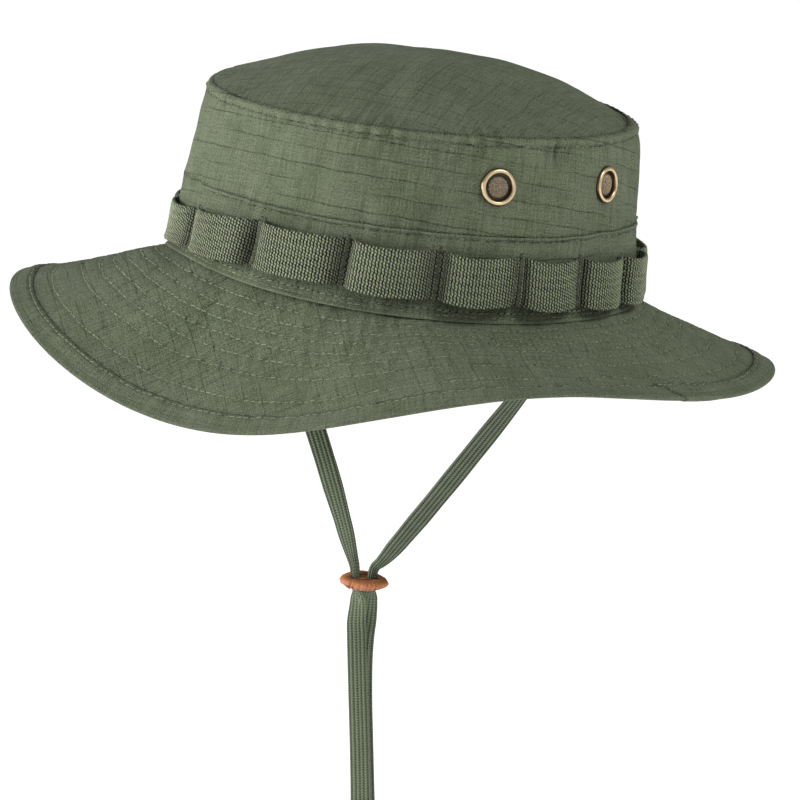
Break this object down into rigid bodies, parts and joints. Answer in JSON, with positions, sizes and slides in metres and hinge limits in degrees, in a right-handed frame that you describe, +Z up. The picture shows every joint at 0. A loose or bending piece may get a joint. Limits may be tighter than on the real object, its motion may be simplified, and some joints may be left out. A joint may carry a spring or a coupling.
{
  "type": "boonie hat",
  "caption": "Soft cloth boonie hat with a domed crown, screened side vents, a band of webbing loops, a stitched wavy brim, and a hanging chin cord with a leather slide.",
  "frame": {"origin": "centre of the head opening, on the seam between crown and brim", "axes": "+Z up through the crown, -Y to the front of the hat, +X to the wearer's left"},
  "size_m": [0.314, 0.3119, 0.4742],
  "materials": {
    "ripstop": "olive green cotton ripstop, matte, fine weave with a small raised grid",
    "tape": "olive green folded cotton tape, matte",
    "webbing": "olive green ribbed webbing, matte",
    "thread": "olive green sewing thread",
    "sweatband_cloth": "olive green folded cotton, matte",
    "interlining": "stiff off-white interlining",
    "label_cloth": "blank woven tag",
    "antique_brass": "antique brass, rubbed brighter on the lip",
    "vent_mesh": "dark wire mesh",
    "braid": "olive green flat braid, matte with ribs along it",
    "leather": "orange brown leather with rough cut edges"
  },
  "bodies": {
    "hat": {"crown_top_panel": "ripstop", "crown_side_panel": "ripstop", "crown_lower_band": "ripstop", "crown_top_seam_tape": "tape", "sweatband": "sweatband_cloth", "size_label": "label_cloth", "foliage_band": "webbing", "foliage_bartacks": "thread", "brim_top_layer": "ripstop", "brim_interlining": "interlining", "brim_bottom_layer": "ripstop", "brim_binding": "tape", "chin_tab_left": "tape", "chin_tab_right": "tape", "vent_rim_left_front": "antique_brass", "vent_washer_left_front": "antique_brass", "vent_screen_left_front": "vent_mesh", "vent_rim_left_rear": "antique_brass", "vent_washer_left_rear": "antique_brass", "vent_screen_left_rear": "vent_mesh", "vent_rim_right_front": "antique_brass", "vent_washer_right_front": "antique_brass", "vent_screen_right_front": "vent_mesh", "vent_rim_right_rear": "antique_brass", "vent_washer_right_rear": "antique_brass", "vent_screen_right_rear": "vent_mesh"},
    "chin_strap": {"chin_cord_left_leg": "braid", "chin_cord_right_leg": "braid", "chin_cord_tail": "braid"},
    "chin_keeper": {"chin_keeper": "leather"}
  },
  "joints": [
    {"name": "chin_strap_swing", "type": "hinge", "parent": "hat", "child": "chin_strap", "pos_m": [0, 0, -0.002], "axis": [1, 0, 0], "range_deg": [-60, 60]},
    {"name": "keeper_slide", "type": "slide", "parent": "chin_strap", "child": "chin_keeper", "axis": [-0.0647, -0.0697, 0.9955], "range_m": [-0.16, 0.06], "deforming": ["chin_cord_left_leg", "chin_cord_right_leg", "chin_cord_tail"]}
  ]
}
